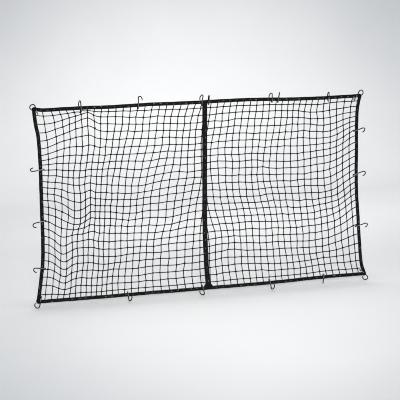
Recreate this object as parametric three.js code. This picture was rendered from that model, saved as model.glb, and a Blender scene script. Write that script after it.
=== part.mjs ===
import * as THREE from 'three';

// A pallet rack safety net as it hangs: a knotted square-mesh net, a webbing border, a webbing strap down
// the middle and open wire S-hooks round the edge. Millimetres, +Z up, the front faces -Y.
// The origin is the middle of the top border, where the net hangs.

// Twine and webbing
const TWINE = 6;
const WEBBING_WIDTH = 25.4;
const WEBBING_THICKNESS = 2.2;
const LAYER_GAP = 1;
const CORNER_CUT = 9;

// How far from its end a strip rises over the layers that it laps
const LAP_RISE = 28;

// The middle strap: wider webbing with a foot that spreads where it meets the bottom border
const STRAP = { width: 36, lap: 10, spread: 15 };

// Corners of the net, on the centre lines of the border webbing
const TOP_LEFT = { x: -1204, z: -6 };
const TOP_RIGHT = { x: 1216, z: -4 };
const BOTTOM_LEFT = { x: -1241, z: -1374 };
const BOTTOM_RIGHT = { x: 1231, z: -1356 };

// Where the middle strap meets the top and bottom border, as a share of their length
const STRAP_SHARE = { top: 0.508, bottom: 0.505 };

// How far each edge stands off the straight line between its corners: inwards on the sides, up on the top
// and bottom, to the right on the strap
const BOWS = {
  left: [
    { at: 0, off: 0 }, { at: 0.07, off: 10 }, { at: 0.15, off: 28 }, { at: 0.28, off: 37 },
    { at: 0.5, off: 40 }, { at: 0.69, off: 43 }, { at: 0.79, off: 39 }, { at: 0.92, off: 18 },
    { at: 1, off: 0 },
  ],
  right: [
    { at: 0, off: 0 }, { at: 0.06, off: 19 }, { at: 0.13, off: 29 }, { at: 0.27, off: 35 },
    { at: 0.5, off: 44 }, { at: 0.68, off: 38 }, { at: 0.82, off: 32 }, { at: 0.94, off: 22 },
    { at: 1, off: 0 },
  ],
  top: [
    { at: 0, off: 0 }, { at: 0.03, off: -10 }, { at: 0.09, off: -7 }, { at: 0.16, off: -6 },
    { at: 0.23, off: -7 }, { at: 0.33, off: -1 }, { at: 0.45, off: -1 }, { at: 0.6, off: 4 },
    { at: 0.69, off: 2 }, { at: 0.76, off: -4 }, { at: 0.87, off: -6 }, { at: 1, off: 0 },
  ],
  bottom: [
    { at: 0, off: 0 }, { at: 0.03, off: -1 }, { at: 0.15, off: -2 }, { at: 0.33, off: -3 },
    { at: 0.42, off: -6 }, { at: 0.55, off: -6 }, { at: 0.7, off: -8 }, { at: 0.88, off: 1 },
    { at: 1, off: 0 },
  ],
  strap: [
    { at: 0, off: 0 }, { at: 0.25, off: -7 }, { at: 0.42, off: -12 }, { at: 0.68, off: -18 },
    { at: 0.87, off: -12 }, { at: 1, off: 0 },
  ],
};

// Broad swells of the hanging sheet and its border, towards the front where positive
const SWELLS = [
  { x: -640, z: -760, wide: 420, high: 420, toward: 26 },
  { x: 640, z: -640, wide: 460, high: 430, toward: -22 },
  { x: 330, z: -1050, wide: 300, high: 320, toward: 12 },
  { x: -640, z: -1372, wide: 300, high: 260, toward: 9 },
  { x: 520, z: -1372, wide: 300, high: 260, toward: -8 },
];

// Where the net is drawn inside its border: the reach of each pull to the left and right, above and below,
// and how far it shifts the net to the right, lifts it and moves it towards the front
const PULLS = [
  // The upper left corner, drawn up to a crease and down along the border
  { x: -840, z: -200, left: 270, right: 55, above: 300, below: 150, shift: 0, lift: 38, toward: 6 },
  { x: -800, z: -150, left: 120, right: 360, above: 300, below: 240, shift: 0, lift: 25, toward: -6 },
  { x: -1180, z: -270, left: 100, right: 90, above: 180, below: 140, shift: 0, lift: -50, toward: 0 },
  { x: -1060, z: -110, left: 170, right: 250, above: 110, below: 500, shift: 32, lift: 0, toward: 0 },
  // The valley along the lower left border
  { x: -1180, z: -850, left: 120, right: 240, above: 420, below: 400, shift: 0, lift: 75, toward: 0 },
  { x: -1040, z: -1040, left: 70, right: 75, above: 180, below: 320, shift: 0, lift: -65, toward: -16 },
  { x: -945, z: -770, left: 75, right: 100, above: 170, below: 130, shift: 0, lift: -40, toward: 0 },
  { x: -740, z: -680, left: 100, right: 400, above: 250, below: 380, shift: 0, lift: -50, toward: -16 },
  { x: -780, z: -760, left: 70, right: 260, above: 380, below: 260, shift: 0, lift: 65, toward: 8 },
  // The slanting columns left of the strap, and the rows that rise to it
  { x: -560, z: -600, left: 330, right: 300, above: 280, below: 2400, shift: -72, lift: 0, toward: -8 },
  { x: -330, z: -760, left: 160, right: 170, above: 300, below: 900, shift: -26, lift: 0, toward: -10 },
  { x: -450, z: -1400, left: 450, right: 380, above: 330, below: 100, shift: -34, lift: 0, toward: 0 },
  { x: 30, z: -650, left: 170, right: 420, above: 450, below: 500, shift: 0, lift: 20, toward: 0 },
  // The right panel's ends and the lift along the right border
  { x: 250, z: -1356, left: 220, right: 300, above: 80, below: 100, shift: 8, lift: 0, toward: 0 },
  { x: 1020, z: 0, left: 320, right: 120, above: 100, below: 220, shift: -26, lift: 0, toward: 0 },
  { x: 1150, z: -1300, left: 160, right: 100, above: 160, below: 100, shift: 20, lift: 0, toward: 0 },
  { x: 1205, z: -420, left: 150, right: 100, above: 230, below: 330, shift: 0, lift: 100, toward: 6 },
  { x: 1205, z: -940, left: 150, right: 100, above: 280, below: 220, shift: 0, lift: 116, toward: 6 },
];
// How far in from the webbing it holds the net back from the front, and along the other edge
const HELD_MARGIN = 110;
const SLIDE_MARGIN = 60;

// The net's gaps: columns left and right of the strap, and rows
const COLUMNS_LEFT = 13;
const COLUMNS_RIGHT = 12;
const ROWS = 12;

// S-hook: a straight shank with a tight bend at its inner end and a wide one at its outer end
const WIRE_RADIUS = 3.3;
const WIRE_SIDES = 6;
const INNER_RADIUS = 13;
const OUTER_RADIUS = 19;
const INNER_TURN = THREE.MathUtils.degToRad(180);
const SHANK = 66;
const HOOK_STEPS = 24;
const HOOK_GAP = 0.9;
const CORNER_SLACK = 10;

// Each hook: the edge or corner it hangs on and its place along the edge; its span from the webbing's inner
// edge to its outer end; how far its inner bend slides in from the webbing; in degrees, the turn of its
// outer bend about the shank, the lean of the shank along the edge and the arc its outer bend is closed to;
// and the way the outer bend curls
const HOOK_COLUMNS = ['name', 'seat', 'at', 'span', 'slide', 'turn', 'lean', 'arc', 'curl'];
const HOOKS = [
  ['corner_top_left', 'topLeft', 0, 69, 8, 6, 26, 235, 'left'],
  ['corner_top_right', 'top', 0.9864, 71, 12, 55, 24, 245, 'right'],
  ['corner_bottom_right', 'bottomRight', 0, 59, 8, 12, 5, 250, 'left'],
  ['corner_bottom_left', 'bottomLeft', 0, 71, 5, 12, -26, 215, 'left'],
  ['top_1', 'top', 0.1375, 76, 3, 57, -6, 230, 'left'],
  ['top_2', 'top', 0.306, 83, 2, 54, 0, 195, 'right'],
  ['top_3', 'top', 0.4985, 75, 2, 42, 3, 235, 'left'],
  ['top_4', 'top', 0.52, 72, 2, 64, -4, 190, 'left'],
  ['top_5', 'top', 0.7178, 71, 3, 32, -13, 225, 'left'],
  ['top_6', 'top', 0.737, 74, 2, 68, -3, 205, 'left'],
  ['top_7', 'top', 0.8985, 66, 8, 48, -10, 225, 'left'],
  ['bottom_1', 'bottom', 0.2613, 57, 3, 62, 4, 220, 'right'],
  ['bottom_2', 'bottom', 0.4875, 53, 5, 20, 0, 215, 'left'],
  ['bottom_3', 'bottom', 0.6972, 61, 3, 66, 7, 225, 'right'],
  ['bottom_4', 'bottom', 0.8685, 66, 2, 62, 28, 205, 'left'],
  ['left_1', 'left', 0.3115, 87, 2, 46, -8, 185, 'up'],
  ['left_2', 'left', 0.578, 88, 2, 44, -10, 185, 'down'],
  ['left_3', 'left', 0.8255, 83, 2, 46, 3, 180, 'down'],
  ['right_1', 'right', 0.1935, 67, 2, 56, -27, 185, 'down'],
  ['right_2', 'right', 0.4375, 77, 2, 54, -27, 200, 'down'],
  ['right_3', 'right', 0.7265, 76, 2, 62, -22, 190, 'down'],
].map((row) => Object.fromEntries(row.map((value, k) => [HOOK_COLUMNS[k], value])));

const CURLS = {
  up: new THREE.Vector3(0, 0, 1),
  down: new THREE.Vector3(0, 0, -1),
  left: new THREE.Vector3(-1, 0, 0),
  right: new THREE.Vector3(1, 0, 0),
};
const BACK = new THREE.Vector3(0, 1, 0);

const twineMaterial = new THREE.MeshStandardMaterial({ color: 0x1b1b1d, roughness: 0.85, metalness: 0 });
const webbingMaterial = new THREE.MeshStandardMaterial({ color: 0x161618, roughness: 0.8, metalness: 0 });
const zincMaterial = new THREE.MeshStandardMaterial({ color: 0x84868a, roughness: 0.38, metalness: 1 });

// A smooth line through the rows of a bow table.
function bowAt(rows, at) {
  const slope = (k) => {
    const before = rows[Math.max(k - 1, 0)];
    const after = rows[Math.min(k + 1, rows.length - 1)];
    return (after.off - before.off) / (after.at - before.at);
  };
  const next = Math.max(1, rows.findIndex((row) => row.at >= at));
  const from = rows[next - 1];
  const to = rows[next];
  const span = to.at - from.at;
  const s = (at - from.at) / span;
  const rise = to.off - from.off;
  const startSlope = slope(next - 1) * span;
  const endSlope = slope(next) * span;
  const ease = s * s * (3 - 2 * s);
  return from.off + rise * ease + startSlope * s * (1 - s) ** 2 - endSlope * s * s * (1 - s);
}

function between(from, to, share) {
  return { x: from.x + (to.x - from.x) * share, z: from.z + (to.z - from.z) * share };
}

// The centre lines of the webbing, from top to bottom and from left to right.
const EDGE_LINES = {
  left: (at) => {
    const p = between(TOP_LEFT, BOTTOM_LEFT, at);
    return { x: p.x + bowAt(BOWS.left, at), z: p.z };
  },
  right: (at) => {
    const p = between(TOP_RIGHT, BOTTOM_RIGHT, at);
    return { x: p.x - bowAt(BOWS.right, at), z: p.z };
  },
  top: (at) => {
    const p = between(TOP_LEFT, TOP_RIGHT, at);
    return { x: p.x, z: p.z + bowAt(BOWS.top, at) };
  },
  bottom: (at) => {
    const p = between(BOTTOM_LEFT, BOTTOM_RIGHT, at);
    return { x: p.x, z: p.z + bowAt(BOWS.bottom, at) };
  },
  strap: (at) => {
    const p = between(EDGE_LINES.top(STRAP_SHARE.top), EDGE_LINES.bottom(STRAP_SHARE.bottom), at);
    return { x: p.x + bowAt(BOWS.strap, at), z: p.z };
  },
};

// The side of each line that faces out: 1 to the right of someone who walks along it from its start.
const OUTER_SIDE = { left: 1, right: -1, top: -1, bottom: 1, strap: 0 };

function nearness(swell, x, z) {
  return Math.exp(-(((x - swell.x) / swell.wide) ** 2) - ((z - swell.z) / swell.high) ** 2);
}

// How strongly a pull acts at a place: 1 at its middle, less by its reach to that side.
function grip(pull, x, z) {
  const wide = x < pull.x ? pull.left : pull.right;
  const high = z < pull.z ? pull.below : pull.above;
  return Math.exp(-(((x - pull.x) / wide) ** 2) - ((z - pull.z) / high) ** 2);
}

// The share of a pull that is free to act, from the distances to the edges that hold it back.
function freed(distances, margin) {
  return distances.reduce((share, far) => share * (1 - Math.exp(-((far / margin) ** 2))), 1);
}

// How far back the middle of the twine lies at a place on the sheet.
function depthAt(x, z) {
  return -SWELLS.reduce((sum, swell) => sum + swell.toward * nearness(swell, x, z), 0);
}

// A place on one side of the strap: across and down are shares of that side's width and height.
function panelPoint(side, across, down) {
  const isLeft = side === 'left';
  const nearEdge = isLeft ? EDGE_LINES.left : EDGE_LINES.strap;
  const farEdge = isLeft ? EDGE_LINES.strap : EDGE_LINES.right;
  const along = (share) => (isLeft ? across * share : share + across * (1 - share));
  const top = EDGE_LINES.top(along(STRAP_SHARE.top));
  const bottom = EDGE_LINES.bottom(along(STRAP_SHARE.bottom));
  const sides = between(nearEdge(down), farEdge(down), across);
  const ends = between(top, bottom, down);
  const flat = between(
    between(nearEdge(0), farEdge(0), across),
    between(nearEdge(1), farEdge(1), across),
    down,
  );
  const x = sides.x + ends.x - flat.x;
  const z = sides.z + ends.z - flat.z;
  const width = farEdge(down).x - nearEdge(down).x;
  const height = top.z - bottom.z;
  const toSides = [across * width, (1 - across) * width];
  const toEnds = [down * height, (1 - down) * height];
  const shifted = freed(toSides, SLIDE_MARGIN);
  const lifted = freed(toEnds, SLIDE_MARGIN);
  const swung = freed([...toSides, ...toEnds], HELD_MARGIN);
  const point = new THREE.Vector3(x, 0, z);
  PULLS.forEach((pull) => {
    const move = new THREE.Vector3(pull.shift * shifted, -pull.toward * swung, pull.lift * lifted);
    point.addScaledVector(move, grip(pull, x, z));
  });
  return point.addScaledVector(BACK, depthAt(point.x, point.z));
}

// The net: a sheet as thick as its twine, with a gap in each cell and a strand along each side of it.
function netGeometry() {
  const columns = COLUMNS_LEFT + COLUMNS_RIGHT;
  const half = TWINE / 2;
  const knot = (column, row) => {
    const down = row / ROWS;
    return column <= COLUMNS_LEFT
      ? panelPoint('left', column / COLUMNS_LEFT, down)
      : panelPoint('right', (column - COLUMNS_LEFT) / COLUMNS_RIGHT, down);
  };
  const positions = [];
  const triangles = [];
  const addPair = (point) => {
    const first = positions.length / 3;
    positions.push(point.x, point.y - half, point.z, point.x, point.y + half, point.z);
    return { front: first, back: first + 1 };
  };
  // The four corners a, b, c and d run clockwise, seen from outside.
  const addQuad = (a, b, c, d) => triangles.push(a, c, b, a, d, c);

  const rim = [];
  for (let row = 0; row <= ROWS; row += 1) {
    rim.push([]);
    for (let column = 0; column <= columns; column += 1) {
      const outX = column === 0 ? -half : Number(column === columns) * half;
      const outZ = row === 0 ? half : -Number(row === ROWS) * half;
      rim[row].push(addPair(knot(column, row).add(new THREE.Vector3(outX, 0, outZ))));
    }
  }
  const inset = (corner, next, last) => {
    const a = next.clone().sub(corner).normalize();
    const b = last.clone().sub(corner).normalize();
    return corner.clone().addScaledVector(a.clone().add(b), half / a.clone().cross(b).length());
  };
  for (let row = 0; row < ROWS; row += 1) {
    for (let column = 0; column < columns; column += 1) {
      const places = [[column, row], [column + 1, row], [column + 1, row + 1], [column, row + 1]];
      const knots = places.map(([c, r]) => knot(c, r));
      const outer = places.map(([c, r]) => rim[r][c]);
      const inner = knots.map((k, i) => addPair(inset(k, knots[(i + 1) % 4], knots[(i + 3) % 4])));
      for (let i = 0; i < 4; i += 1) {
        const j = (i + 1) % 4;
        addQuad(outer[i].front, outer[j].front, inner[j].front, inner[i].front);
        addQuad(outer[j].back, outer[i].back, inner[i].back, inner[j].back);
        addQuad(inner[i].front, inner[j].front, inner[j].back, inner[i].back);
      }
    }
  }
  const ring = [];
  for (let c = 0; c < columns; c += 1) ring.push(rim[0][c]);
  for (let r = 0; r < ROWS; r += 1) ring.push(rim[r][columns]);
  for (let c = columns; c > 0; c -= 1) ring.push(rim[ROWS][c]);
  for (let r = ROWS; r > 0; r -= 1) ring.push(rim[r][0]);
  ring.forEach((from, i) => {
    const to = ring[(i + 1) % ring.length];
    addQuad(to.front, from.front, from.back, to.back);
  });
  return indexedGeometry(positions, triangles);
}

function indexedGeometry(positions, triangles) {
  const geometry = new THREE.BufferGeometry();
  geometry.setAttribute('position', new THREE.Float32BufferAttribute(positions, 3));
  geometry.setIndex(triangles);
  geometry.computeVertexNormals();
  return geometry;
}

// Unit vector along an edge's centre line.
function directionAt(line, at) {
  const step = 0.004;
  const from = line(Math.max(0, at - step));
  const to = line(Math.min(1, at + step));
  return new THREE.Vector3(to.x - from.x, 0, to.z - from.z).normalize();
}

// A length of webbing in front of the net. Its ends run on past the edge's ends and rise over the layers
// that they lap. Its outer side loses a corner at each end, and its last end spreads into a foot.
function webbingGeometry(line, strip) {
  const { width = WEBBING_WIDTH, lap = WEBBING_WIDTH / 2, spread = 0, layers, pieces, outerSide } = strip;
  const length = new THREE.Vector3(line(1).x - line(0).x, 0, line(1).z - line(0).z).length();
  const halfWidth = width / 2;
  const halfLapped = WEBBING_WIDTH / 2;
  const ends = [-lap, CORNER_CUT - lap, halfLapped, halfLapped + LAP_RISE];
  const stations = [...ends];
  for (let i = 1; i < pieces; i += 1) stations.push((length * i) / pieces);
  ends.toReversed().forEach((past) => stations.push(length - past));
  const positions = [];
  const triangles = [];
  stations.forEach((past, s) => {
    const at = THREE.MathUtils.clamp(past / length, 0, 1);
    const along = directionAt(line, at);
    const sideways = new THREE.Vector3(along.z, 0, -along.x);
    const centre = line(at);
    const run = past - at * length;
    const toEnd = Math.min(past, length - past);
    const lapped = 1 - THREE.MathUtils.smoothstep(toEnd, halfLapped, halfLapped + LAP_RISE);
    const lift = (layers - 1) * (WEBBING_THICKNESS + LAYER_GAP) * lapped;
    const footed = past > length / 2 ? spread * lapped : 0;
    const isEnd = s === 0 || s === stations.length - 1;
    [-1, 1].forEach((side) => {
      const trim = isEnd && side === outerSide ? CORNER_CUT : 0;
      const offset = side * (halfWidth + footed - trim);
      const x = centre.x + along.x * run + sideways.x * offset;
      const z = centre.z + along.z * run + sideways.z * offset;
      const back = depthAt(x, z) - TWINE / 2 - LAYER_GAP - lift;
      positions.push(x, back - WEBBING_THICKNESS, z, x, back, z);
    });
  });
  const addQuad = (a, b, c, d) => triangles.push(a, c, b, a, d, c);
  const corners = [0, 1, 3, 2];
  for (let s = 0; s < stations.length - 1; s += 1) {
    const here = s * 4;
    corners.forEach((corner, i) => {
      const next = corners[(i + 1) % 4];
      addQuad(here + corner, here + next, here + 4 + next, here + 4 + corner);
    });
  }
  const last = (stations.length - 1) * 4;
  addQuad(0, 2, 3, 1);
  addQuad(last, last + 1, last + 3, last + 2);
  return indexedGeometry(positions, triangles);
}

// The middle line of an S-hook. Its shank runs outwards in front of the webbing, the inner bend goes round
// behind the webbing and the outer bend curls off to the side.
class HookLine extends THREE.Curve {
  constructor(start, outward, behind, curl, outerTurn) {
    super();
    Object.assign(this, { start, outward, behind, curl });
    this.innerLength = INNER_RADIUS * INNER_TURN;
    this.total = this.innerLength + SHANK + OUTER_RADIUS * outerTurn;
  }

  getPoint(share, target = new THREE.Vector3()) {
    const run = share * this.total - this.innerLength;
    const isInner = run < 0;
    const radius = isInner ? INNER_RADIUS : OUTER_RADIUS;
    const angle = (isInner ? -run : Math.max(0, run - SHANK)) / radius;
    const along = THREE.MathUtils.clamp(run, 0, SHANK) + (isInner ? -radius : radius) * Math.sin(angle);
    return target.copy(this.start)
      .addScaledVector(this.outward, along)
      .addScaledVector(isInner ? this.behind : this.curl, radius * (1 - Math.cos(angle)));
  }
}

// Where a hook's shank crosses the webbing's inner edge, the way out from there, and the layers of webbing.
function hookSeat({ seat, at }) {
  const corners = {
    topLeft: { point: TOP_LEFT, x: -1, z: 1 },
    bottomLeft: { point: BOTTOM_LEFT, x: -1, z: -1 },
    bottomRight: { point: BOTTOM_RIGHT, x: 1, z: -1 },
  };
  const halfWidth = WEBBING_WIDTH / 2;
  if (seat in corners) {
    const { point, x, z } = corners[seat];
    const inside = new THREE.Vector3(point.x, 0, point.z)
      .addScaledVector(new THREE.Vector3(x, 0, z), -halfWidth - CORNER_SLACK);
    return { inside, outward: new THREE.Vector3(x, 0, z).normalize(), layers: 2 };
  }
  const along = directionAt(EDGE_LINES[seat], at);
  const outward = new THREE.Vector3(along.z, 0, -along.x).multiplyScalar(OUTER_SIDE[seat]);
  const { x, z } = EDGE_LINES[seat](at);
  return { inside: new THREE.Vector3(x, 0, z).addScaledVector(outward, -halfWidth), outward, layers: 1 };
}

// The inner bend goes round the webbing's inner edge. A hook of a shorter span leans to the front.
function hookGeometry(hook) {
  const { inside, outward, layers } = hookSeat(hook);
  outward.applyAxisAngle(BACK, THREE.MathUtils.degToRad(hook.lean));
  const tip = Math.acos(Math.min(1, (hook.span + hook.slide) / (SHANK + OUTER_RADIUS + WIRE_RADIUS)));
  const turn = THREE.MathUtils.degToRad(hook.turn);
  const side = outward.clone().cross(BACK);
  side.multiplyScalar(Math.sign(side.dot(CURLS[hook.curl])));
  const away = outward.clone().multiplyScalar(Math.cos(tip)).addScaledVector(BACK, -Math.sin(tip));
  const inward = BACK.clone().multiplyScalar(Math.cos(tip)).addScaledVector(outward, Math.sin(tip));
  const curl = side.clone().multiplyScalar(Math.cos(turn)).addScaledVector(inward, -Math.sin(turn));
  const stack = TWINE / 2 + layers * (LAYER_GAP + WEBBING_THICKNESS);
  const start = inside.clone()
    .addScaledVector(BACK, depthAt(inside.x, inside.z) - stack)
    .addScaledVector(inward, -HOOK_GAP - WIRE_RADIUS)
    .addScaledVector(away, -hook.slide);
  const section = new THREE.Shape();
  for (let i = 0; i < WIRE_SIDES; i += 1) {
    const angle = (2 * Math.PI * i) / WIRE_SIDES;
    const corner = [WIRE_RADIUS * Math.cos(angle), WIRE_RADIUS * Math.sin(angle)];
    if (i === 0) section.moveTo(...corner);
    else section.lineTo(...corner);
  }
  section.closePath();
  const extrudePath = new HookLine(start, away, inward, curl, THREE.MathUtils.degToRad(hook.arc));
  return new THREE.ExtrudeGeometry(section, { steps: HOOK_STEPS, extrudePath, bevelEnabled: false });
}

function piece(name, geometry, material) {
  const mesh = new THREE.Mesh(geometry, material.clone());
  mesh.name = name;
  return mesh;
}

// The side borders and the strap lap over the top and bottom borders.
const STRIPS = [
  { name: 'border_top', line: 'top', layers: 1, pieces: 30 },
  { name: 'border_bottom', line: 'bottom', layers: 1, pieces: 30 },
  { name: 'border_left', line: 'left', layers: 2, pieces: 18 },
  { name: 'border_right', line: 'right', layers: 2, pieces: 18 },
  { name: 'centre_strap', line: 'strap', layers: 2, pieces: 16, ...STRAP },
];

const safetyNet = new THREE.Group();
safetyNet.add(piece('net', netGeometry(), twineMaterial));
STRIPS.forEach(({ name, line, ...shape }) => {
  const geometry = webbingGeometry(EDGE_LINES[line], { ...shape, outerSide: OUTER_SIDE[line] });
  safetyNet.add(piece(name, geometry, webbingMaterial));
});
HOOKS.forEach((hook) => safetyNet.add(piece(`hook_${hook.name}`, hookGeometry(hook), zincMaterial)));

export default safetyNet;
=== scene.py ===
"""Looks of a pallet rack safety net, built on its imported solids.

A knotted square-mesh net hangs inside a border of flat webbing, with a webbing strap sewn down its middle
and open wire S-hooks round its edge. Sizes in the tables are millimetres in the frame of the solids: +Z is
up, the front faces -Y, and the origin is the middle of the top border. Meshes are in metres.
"""

import logging
import math
from dataclasses import dataclass, field
from enum import Enum
from typing import Any, Mapping, Sequence

import bpy
import numpy as np
from mathutils import Matrix, Vector


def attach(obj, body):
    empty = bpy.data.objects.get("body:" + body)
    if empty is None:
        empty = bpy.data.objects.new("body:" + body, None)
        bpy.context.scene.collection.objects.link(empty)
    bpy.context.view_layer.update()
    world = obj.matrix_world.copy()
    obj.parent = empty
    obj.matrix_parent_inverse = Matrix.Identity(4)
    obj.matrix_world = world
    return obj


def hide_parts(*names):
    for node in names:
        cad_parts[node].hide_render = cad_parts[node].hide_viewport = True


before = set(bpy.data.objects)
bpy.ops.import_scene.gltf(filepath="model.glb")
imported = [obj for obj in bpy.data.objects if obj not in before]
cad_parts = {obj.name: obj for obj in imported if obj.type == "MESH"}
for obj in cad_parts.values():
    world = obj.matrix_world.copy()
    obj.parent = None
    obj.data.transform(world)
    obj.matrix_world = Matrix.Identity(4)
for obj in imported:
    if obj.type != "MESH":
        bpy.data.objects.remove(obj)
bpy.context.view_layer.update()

LOG = logging.getLogger("safety_net")
MM = 0.001
BODY = "root"
FRAME_PIXELS = 400
WEBBING_WIDTH = 25.4
HALF_WEBBING = WEBBING_WIDTH / 2
TO_BACK = (0.0, 1.0, 0.0)
# A way that no thread of a small shape runs along
ASLANT = (0.31, 0.9, 0.29)


class Edge(Enum):
    """A line of webbing: the four sides of the border and the strap down the middle."""

    LEFT = "left"
    RIGHT = "right"
    TOP = "top"
    BOTTOM = "bottom"
    STRAP = "strap"


class Corner(Enum):
    """A corner of the border, with the way out of it along X and Z."""

    TOP_LEFT = (-1, 1)
    TOP_RIGHT = (1, 1)
    BOTTOM_LEFT = (-1, -1)
    BOTTOM_RIGHT = (1, -1)


class Curl(Enum):
    """The way that a hook's outer bend curls, as seen from the front."""

    UP = (0, 0, 1)
    DOWN = (0, 0, -1)
    LEFT = (-1, 0, 0)
    RIGHT = (1, 0, 0)


class Slot(Enum):
    """The record's material slots."""

    TWINE = "twine"
    WEBBING = "webbing"
    WIRE = "zinc_wire"


@dataclass(frozen=True)
class Bow:
    """A row of a table along an edge: a share of its length, and how far things are off there."""

    at: float
    off: float


@dataclass(frozen=True)
class Swell:
    """A broad swell of the hanging sheet, towards the front where positive."""

    x: float
    z: float
    wide: float
    high: float
    toward: float


@dataclass(frozen=True)
class Pull:
    """A place where the net is drawn to the right, up and towards the front inside its border.

    Left, right, above and below are how far it reaches. They may differ, so that a crease has one soft
    and one sharp flank.
    """

    x: float
    z: float
    left: float
    right: float
    above: float
    below: float
    shift: float = 0.0
    lift: float = 0.0
    toward: float = 0.0


# X and Z of the corners, where the middle lines of the webbing meet
CORNERS = {
    Corner.TOP_LEFT: (-1204, -6),
    Corner.TOP_RIGHT: (1216, -4),
    Corner.BOTTOM_LEFT: (-1241, -1374),
    Corner.BOTTOM_RIGHT: (1231, -1356),
}

EDGE_ENDS = {
    Edge.LEFT: (Corner.TOP_LEFT, Corner.BOTTOM_LEFT),
    Edge.RIGHT: (Corner.TOP_RIGHT, Corner.BOTTOM_RIGHT),
    Edge.TOP: (Corner.TOP_LEFT, Corner.TOP_RIGHT),
    Edge.BOTTOM: (Corner.BOTTOM_LEFT, Corner.BOTTOM_RIGHT),
}

# The side of each line that faces out: 1 to the right of its way from start to end, as seen from the front
OUTER_SIDES = {Edge.LEFT: 1, Edge.RIGHT: -1, Edge.TOP: -1, Edge.BOTTOM: 1, Edge.STRAP: 0}

# How far each line stands off straight, in millimetres: up, or in from a side, or to the right for the strap
BOWS = {
    Edge.LEFT: (
        Bow(0, 0), Bow(0.07, 10), Bow(0.15, 28), Bow(0.28, 37), Bow(0.5, 40),
        Bow(0.69, 43), Bow(0.79, 39), Bow(0.92, 18), Bow(1, 0),
    ),
    Edge.RIGHT: (
        Bow(0, 0), Bow(0.06, 19), Bow(0.13, 29), Bow(0.27, 35), Bow(0.5, 44),
        Bow(0.68, 38), Bow(0.82, 32), Bow(0.94, 22), Bow(1, 0),
    ),
    Edge.TOP: (
        Bow(0, 0), Bow(0.03, -10), Bow(0.09, -7), Bow(0.16, -6), Bow(0.23, -7), Bow(0.33, -1),
        Bow(0.45, -1), Bow(0.6, 4), Bow(0.69, 2), Bow(0.76, -4), Bow(0.87, -6), Bow(1, 0),
    ),
    Edge.BOTTOM: (
        Bow(0, 0), Bow(0.03, -1), Bow(0.15, -2), Bow(0.33, -3), Bow(0.42, -6),
        Bow(0.55, -6), Bow(0.7, -8), Bow(0.88, 1), Bow(1, 0),
    ),
    Edge.STRAP: (
        Bow(0, 0), Bow(0.25, -7), Bow(0.42, -12), Bow(0.68, -18), Bow(0.87, -12), Bow(1, 0),
    ),
}

SWELLS = (
    Swell(x=-640, z=-760, wide=420, high=420, toward=26),
    Swell(x=640, z=-640, wide=460, high=430, toward=-22),
    Swell(x=330, z=-1050, wide=300, high=320, toward=12),
    Swell(x=-640, z=-1372, wide=300, high=260, toward=9),
    Swell(x=520, z=-1372, wide=300, high=260, toward=-8),
)

PULLS = (
    # The upper left corner, drawn up to a crease and down along the border
    Pull(x=-840, z=-200, left=270, right=55, above=300, below=150, lift=38, toward=6),
    Pull(x=-800, z=-150, left=120, right=360, above=300, below=240, lift=25, toward=-6),
    Pull(x=-1180, z=-270, left=100, right=90, above=180, below=140, lift=-50),
    Pull(x=-1060, z=-110, left=170, right=250, above=110, below=500, shift=32),
    # The valley along the lower left border
    Pull(x=-1180, z=-850, left=120, right=240, above=420, below=400, lift=75),
    Pull(x=-1040, z=-1040, left=70, right=75, above=180, below=320, lift=-65, toward=-16),
    Pull(x=-945, z=-770, left=75, right=100, above=170, below=130, lift=-40),
    Pull(x=-740, z=-680, left=100, right=400, above=250, below=380, lift=-50, toward=-16),
    Pull(x=-780, z=-760, left=70, right=260, above=380, below=260, lift=65, toward=8),
    # The slanting columns left of the strap, and the rows that rise to it
    Pull(x=-560, z=-600, left=330, right=300, above=280, below=2400, shift=-72, toward=-8),
    Pull(x=-330, z=-760, left=160, right=170, above=300, below=900, shift=-26, toward=-10),
    Pull(x=-450, z=-1400, left=450, right=380, above=330, below=100, shift=-34),
    Pull(x=30, z=-650, left=170, right=420, above=450, below=500, lift=20),
    # The right panel's ends and the lift along the right border
    Pull(x=250, z=-1356, left=220, right=300, above=80, below=100, shift=8),
    Pull(x=1020, z=0, left=320, right=120, above=100, below=220, shift=-26),
    Pull(x=1150, z=-1300, left=160, right=100, above=160, below=100, shift=20),
    Pull(x=1205, z=-420, left=150, right=100, above=230, below=330, lift=100, toward=6),
    Pull(x=1205, z=-940, left=150, right=100, above=280, below=220, lift=116, toward=6),
)

# How much each panel's meshes are bunched towards the strap, as a share of its width, from top to bottom
GATHERS = {
    Edge.LEFT: (
        Bow(0, 0.12), Bow(0.1, 0.085), Bow(0.25, 0.062), Bow(0.4, 0.056), Bow(0.55, 0.04), Bow(0.7, 0.006),
        Bow(0.85, 0.002), Bow(1, 0.004),
    ),
    Edge.RIGHT: (
        Bow(0, 0.04), Bow(0.1, 0.06), Bow(0.25, 0.09), Bow(0.4, 0.085), Bow(0.55, 0.06), Bow(0.7, 0.025),
        Bow(0.85, 0.02), Bow(1, 0.025),
    ),
}


def linear(colour: str) -> tuple[float, float, float, float]:
    """Turns an sRGB hex colour into linear light.

    Args:
        colour: The colour, as #rrggbb.

    Returns:
        Red, green and blue in linear light, and an alpha of 1.
    """
    parts = [int(colour[k:k + 2], 16) / 255 for k in (1, 3, 5)]
    light = [c / 12.92 if c <= 0.04045 else ((c + 0.055) / 1.055) ** 2.4 for c in parts]
    return light[0], light[1], light[2], 1.0


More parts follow.
